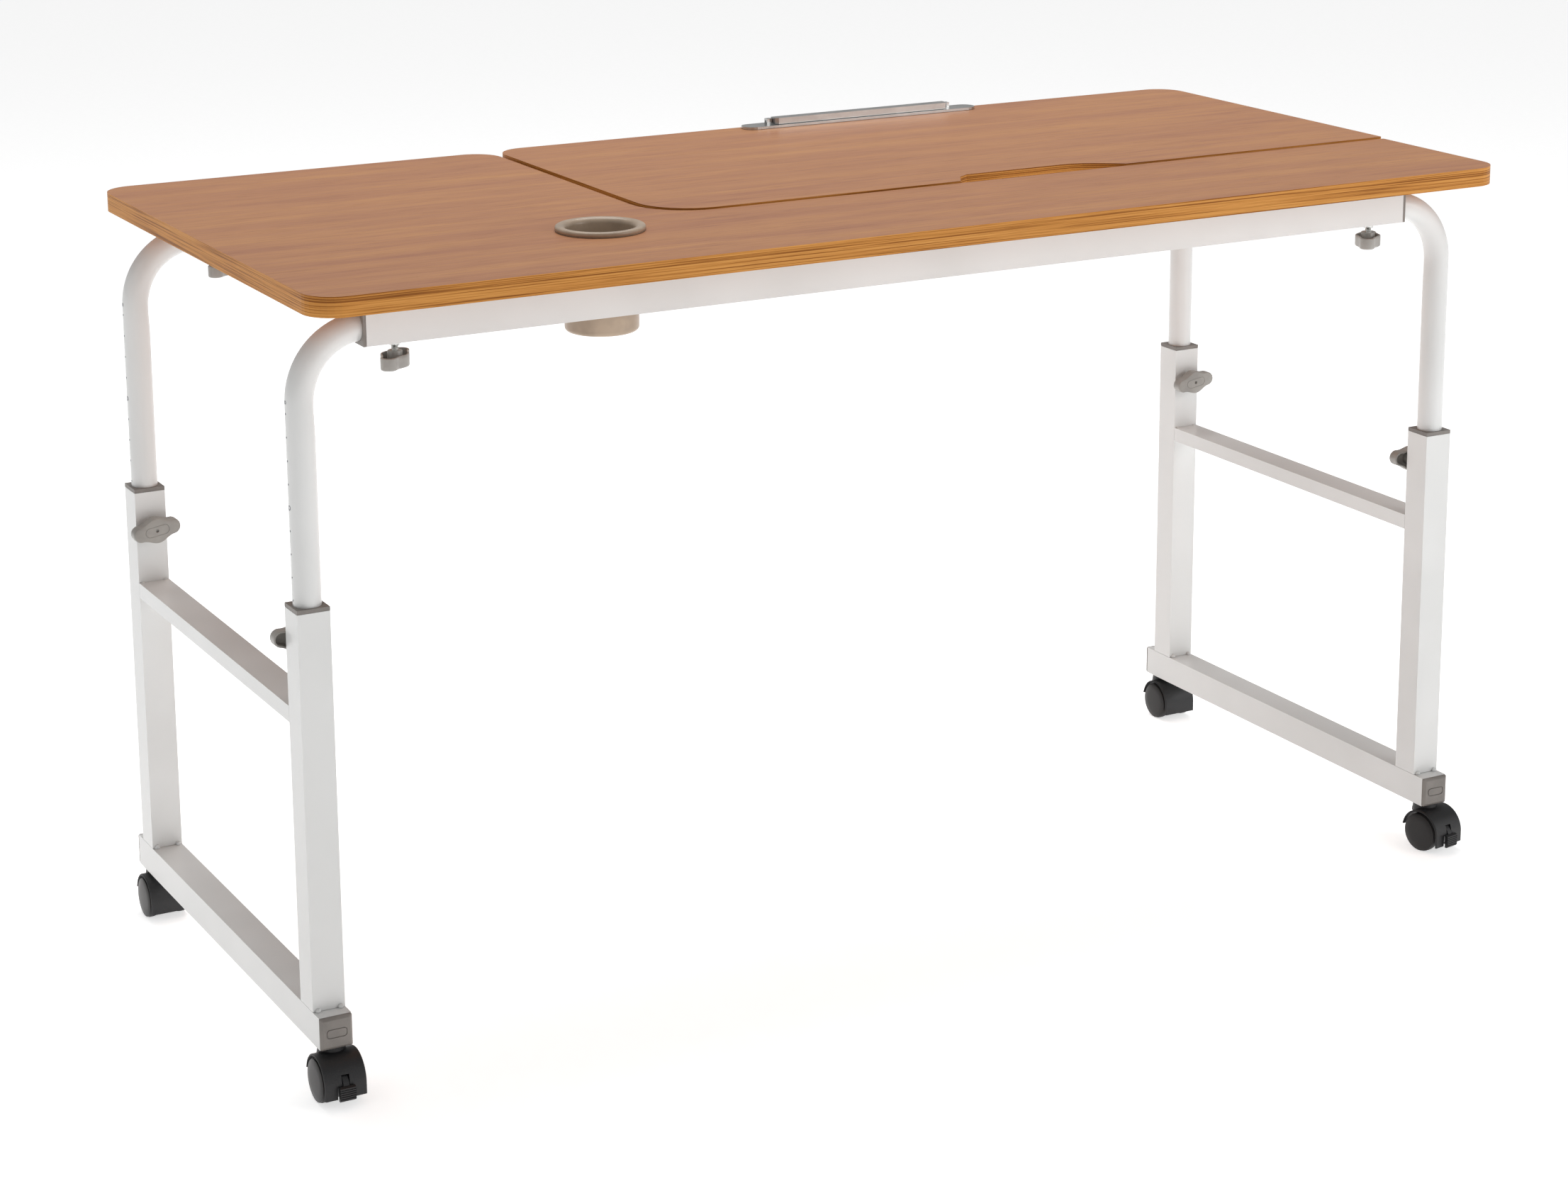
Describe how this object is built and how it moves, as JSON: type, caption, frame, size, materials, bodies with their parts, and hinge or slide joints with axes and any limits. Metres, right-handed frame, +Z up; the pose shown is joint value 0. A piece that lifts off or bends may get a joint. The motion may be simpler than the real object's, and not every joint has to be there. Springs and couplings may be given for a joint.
{
  "type": "overbed table",
  "caption": "Long bed-spanning table with a tilting reading panel, cup holder, and wheeled side frames that slide out for width and up for height.",
  "frame": {"origin": "on the floor, under the middle of the table", "axes": "+X along the long side, +Y towards the rear edge with the book stop, +Z up"},
  "size_m": [1.2607, 0.58, 0.7362],
  "materials": {
    "wood_laminate": "satin wood-grain laminate",
    "white_paint": "glossy white powder coat",
    "grey_plastic": "satin moulded",
    "knob_plastic": "satin moulded",
    "greige_plastic": "gloss moulded",
    "black_plastic": "fine texture",
    "wheel_plastic": "satin",
    "brushed_metal": "brushed",
    "zinc_steel": "zinc plated"
  },
  "bodies": {
    "top": {"fixed_top": "wood_laminate", "cup_holder": "greige_plastic", "front_beam": "white_paint", "rear_beam": "white_paint", "left_cross_rail": "white_paint", "right_cross_rail": "white_paint", "left_hinge_fixed_leaf": "zinc_steel", "right_hinge_fixed_leaf": "zinc_steel", "left_front_beam_bushing": "grey_plastic", "left_rear_beam_bushing": "grey_plastic", "right_front_beam_bushing": "grey_plastic", "right_rear_beam_bushing": "grey_plastic"},
    "tilt_panel": {"tilt_panel": "wood_laminate", "stop_plate": "brushed_metal", "left_hinge_panel_leaf": "zinc_steel", "right_hinge_panel_leaf": "zinc_steel"},
    "book_stop": {"stop_flip_bar": "brushed_metal"},
    "left_uprights": {"left_front_bent_tube": "white_paint", "left_rear_bent_tube": "white_paint"},
    "left_front_height_knob": {"left_front_height_knob": "knob_plastic"},
    "left_front_width_knob": {"left_front_width_knob": "knob_plastic"},
    "left_front_caster": {"left_front_caster_housing": "black_plastic"},
    "left_front_wheel_a": {"left_front_caster_wheel_a": "wheel_plastic"},
    "left_front_wheel_b": {"left_front_caster_wheel_b": "wheel_plastic"},
    "left_front_brake": {"left_front_brake_pedal": "black_plastic"},
    "left_rear_height_knob": {"left_rear_height_knob": "knob_plastic"},
    "left_rear_width_knob": {"left_rear_width_knob": "knob_plastic"},
    "left_rear_caster": {"left_rear_caster_housing": "black_plastic"},
    "left_rear_wheel_a": {"left_rear_caster_wheel_a": "wheel_plastic"},
    "left_rear_wheel_b": {"left_rear_caster_wheel_b": "wheel_plastic"},
    "left_base": {"left_foot_bar": "white_paint", "left_crossbar": "white_paint", "left_front_leg": "white_paint", "left_front_leg_sleeve": "grey_plastic", "left_front_foot_cap": "grey_plastic", "left_rear_leg": "white_paint", "left_rear_leg_sleeve": "grey_plastic", "left_rear_foot_cap": "grey_plastic"},
    "right_uprights": {"right_front_bent_tube": "white_paint", "right_rear_bent_tube": "white_paint"},
    "right_front_height_knob": {"right_front_height_knob": "knob_plastic"},
    "right_front_width_knob": {"right_front_width_knob": "knob_plastic"},
    "right_front_caster": {"right_front_caster_housing": "black_plastic"},
    "right_front_wheel_a": {"right_front_caster_wheel_a": "wheel_plastic"},
    "right_front_wheel_b": {"right_front_caster_wheel_b": "wheel_plastic"},
    "right_front_brake": {"right_front_brake_pedal": "black_plastic"},
    "right_rear_height_knob": {"right_rear_height_knob": "knob_plastic"},
    "right_rear_width_knob": {"right_rear_width_knob": "knob_plastic"},
    "right_rear_caster": {"right_rear_caster_housing": "black_plastic"},
    "right_rear_wheel_a": {"right_rear_caster_wheel_a": "wheel_plastic"},
    "right_rear_wheel_b": {"right_rear_caster_wheel_b": "wheel_plastic"},
    "right_base": {"right_foot_bar": "white_paint", "right_crossbar": "white_paint", "right_front_leg": "white_paint", "right_front_leg_sleeve": "grey_plastic", "right_front_foot_cap": "grey_plastic", "right_rear_leg": "white_paint", "right_rear_leg_sleeve": "grey_plastic", "right_rear_foot_cap": "grey_plastic"}
  },
  "joints": [
    {"name": "panel_tilt", "type": "hinge", "parent": "top", "child": "tilt_panel", "pos_m": [0, 0.262, 0.7], "axis": [-1, 0, 0], "range_deg": [0, 40]},
    {"name": "book_stop_flip", "type": "hinge", "parent": "tilt_panel", "child": "book_stop", "pos_m": [0.222, 0.2818, 0.7316], "axis": [-1, 0, 0], "range_deg": [0, 90]},
    {"name": "left_width_slide", "type": "slide", "parent": "left_uprights", "child": "top", "axis": [1, 0, 0], "range_m": [0, 0.15]},
    {"name": "left_height_slide", "type": "slide", "parent": "left_base", "child": "left_uprights", "axis": [0, 0, 1], "range_m": [-0.14, 0.15]},
    {"name": "left_front_height_knob_turn", "type": "hinge", "parent": "left_base", "child": "left_front_height_knob", "pos_m": [-0.6065, -0.206, 0.4065], "axis": [0, 1, 0], "range_deg": [0, 450]},
    {"name": "left_front_width_knob_turn", "type": "hinge", "parent": "top", "child": "left_front_width_knob", "pos_m": [-0.519, -0.221, 0.667], "axis": [0, 0, -1], "range_deg": [0, 450]},
    {"name": "left_front_caster_swivel", "type": "hinge", "parent": "left_base", "child": "left_front_caster", "pos_m": [-0.6065, -0.238, 0.04], "axis": [0, 0, 1], "continuous": true},
    {"name": "left_front_wheel_a_spin", "type": "hinge", "parent": "left_front_caster", "child": "left_front_wheel_a", "pos_m": [-0.6065, -0.248, 0.02], "axis": [1, 0, 0], "continuous": true},
    {"name": "left_front_wheel_b_spin", "type": "hinge", "parent": "left_front_caster", "child": "left_front_wheel_b", "pos_m": [-0.6065, -0.248, 0.02], "axis": [1, 0, 0], "continuous": true},
    {"name": "left_front_brake_press", "type": "hinge", "parent": "left_front_caster", "child": "left_front_brake", "pos_m": [-0.6065, -0.26, 0.025], "axis": [1, 0, 0], "range_deg": [0, 12]},
    {"name": "left_rear_height_knob_turn", "type": "hinge", "parent": "left_base", "child": "left_rear_height_knob", "pos_m": [-0.6065, 0.206, 0.4065], "axis": [0, -1, 0], "range_deg": [0, 450]},
    {"name": "left_rear_width_knob_turn", "type": "hinge", "parent": "top", "child": "left_rear_width_knob", "pos_m": [-0.519, 0.221, 0.667], "axis": [0, 0, -1], "range_deg": [0, 450]},
    {"name": "left_rear_caster_swivel", "type": "hinge", "parent": "left_base", "child": "left_rear_caster", "pos_m": [-0.6065, 0.238, 0.04], "axis": [0, 0, 1], "continuous": true},
    {"name": "left_rear_wheel_a_spin", "type": "hinge", "parent": "left_rear_caster", "child": "left_rear_wheel_a", "pos_m": [-0.6065, 0.228, 0.02], "axis": [1, 0, 0], "continuous": true},
    {"name": "left_rear_wheel_b_spin", "type": "hinge", "parent": "left_rear_caster", "child": "left_rear_wheel_b", "pos_m": [-0.6065, 0.228, 0.02], "axis": [1, 0, 0], "continuous": true},
    {"name": "right_width_slide", "type": "slide", "parent": "top", "child": "right_uprights", "axis": [1, 0, 0], "range_m": [0, 0.15]},
    {"name": "right_height_slide", "type": "slide", "parent": "right_uprights", "child": "right_base", "axis": [0, 0, -1], "range_m": [-0.14, 0.15]},
    {"name": "right_front_height_knob_turn", "type": "hinge", "parent": "right_base", "child": "right_front_height_knob", "pos_m": [0.6065, -0.206, 0.4065], "axis": [0, 1, 0], "range_deg": [0, 450]},
    {"name": "right_front_width_knob_turn", "type": "hinge", "parent": "top", "child": "right_front_width_knob", "pos_m": [0.519, -0.221, 0.667], "axis": [0, 0, -1], "range_deg": [0, 450]},
    {"name": "right_front_caster_swivel", "type": "hinge", "parent": "right_base", "child": "right_front_caster", "pos_m": [0.6065, -0.238, 0.04], "axis": [0, 0, 1], "continuous": true},
    {"name": "right_front_wheel_a_spin", "type": "hinge", "parent": "right_front_caster", "child": "right_front_wheel_a", "pos_m": [0.60824, -0.24785, 0.02], "axis": [0.9848, 0.1736, 0], "continuous": true},
    {"name": "right_front_wheel_b_spin", "type": "hinge", "parent": "right_front_caster", "child": "right_front_wheel_b", "pos_m": [0.60824, -0.24785, 0.02], "axis": [0.9848, 0.1736, 0], "continuous": true},
    {"name": "right_front_brake_press", "type": "hinge", "parent": "right_front_caster", "child": "right_front_brake", "pos_m": [0.61032, -0.25967, 0.025], "axis": [0.9848, 0.1736, 0], "range_deg": [0, 12]},
    {"name": "right_rear_height_knob_turn", "type": "hinge", "parent": "right_base", "child": "right_rear_height_knob", "pos_m": [0.6065, 0.206, 0.4065], "axis": [0, -1, 0], "range_deg": [0, 450]},
    {"name": "right_rear_width_knob_turn", "type": "hinge", "parent": "top", "child": "right_rear_width_knob", "pos_m": [0.519, 0.221, 0.667], "axis": [0, 0, -1], "range_deg": [0, 450]},
    {"name": "right_rear_caster_swivel", "type": "hinge", "parent": "right_base", "child": "right_rear_caster", "pos_m": [0.6065, 0.238, 0.04], "axis": [0, 0, 1], "continuous": true},
    {"name": "right_rear_wheel_a_spin", "type": "hinge", "parent": "right_rear_caster", "child": "right_rear_wheel_a", "pos_m": [0.6065, 0.228, 0.02], "axis": [1, 0, 0], "continuous": true},
    {"name": "right_rear_wheel_b_spin", "type": "hinge", "parent": "right_rear_caster", "child": "right_rear_wheel_b", "pos_m": [0.6065, 0.228, 0.02], "axis": [1, 0, 0], "continuous": true}
  ],
  "couplings": [
    {"joint": "right_height_slide", "follows": "left_height_slide", "ratio": 1}
  ]
}
